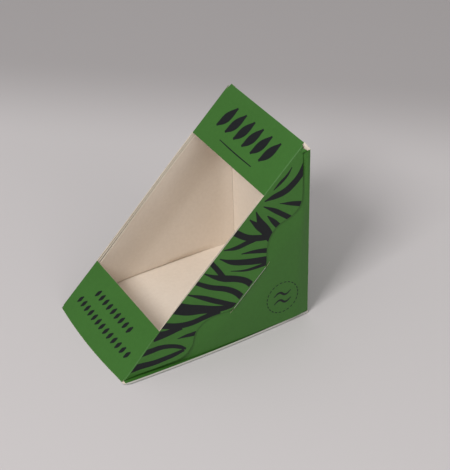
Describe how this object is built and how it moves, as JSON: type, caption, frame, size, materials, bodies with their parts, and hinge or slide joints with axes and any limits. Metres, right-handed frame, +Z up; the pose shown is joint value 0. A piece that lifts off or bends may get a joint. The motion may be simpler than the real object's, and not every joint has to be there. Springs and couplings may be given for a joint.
{
  "type": "sandwich wedge pack",
  "caption": "Triangular folded card carton for a cut sandwich, with an open window in its slanted front and a tucked side flap at each end that hinges open.",
  "frame": {"origin": "middle of the bounding box at floor level, on the underside of the bottom panel", "axes": "+Z up, +Y from the foot of the slanted front towards the upright back panel, +X to the right-hand end seen from the front"},
  "size_m": [0.0954, 0.128, 0.1197],
  "materials": {
    "printed_board": "matt printed white-lined folding board, unprinted inside"
  },
  "bodies": {
    "carton": {"carton": "printed_board"},
    "right_flap": {"side_flap_right": "printed_board"},
    "left_flap": {"side_flap_left": "printed_board"}
  },
  "joints": [
    {"name": "right_flap_hinge", "type": "hinge", "parent": "carton", "child": "right_flap", "pos_m": [0.0415, 0.001, 0.06], "axis": [0, -0.7241, -0.6897], "range_deg": [0, 115]},
    {"name": "left_flap_hinge", "type": "hinge", "parent": "carton", "child": "left_flap", "pos_m": [-0.0415, 0.001, 0.06], "axis": [0, 0.7241, 0.6897], "range_deg": [0, 115]}
  ]
}
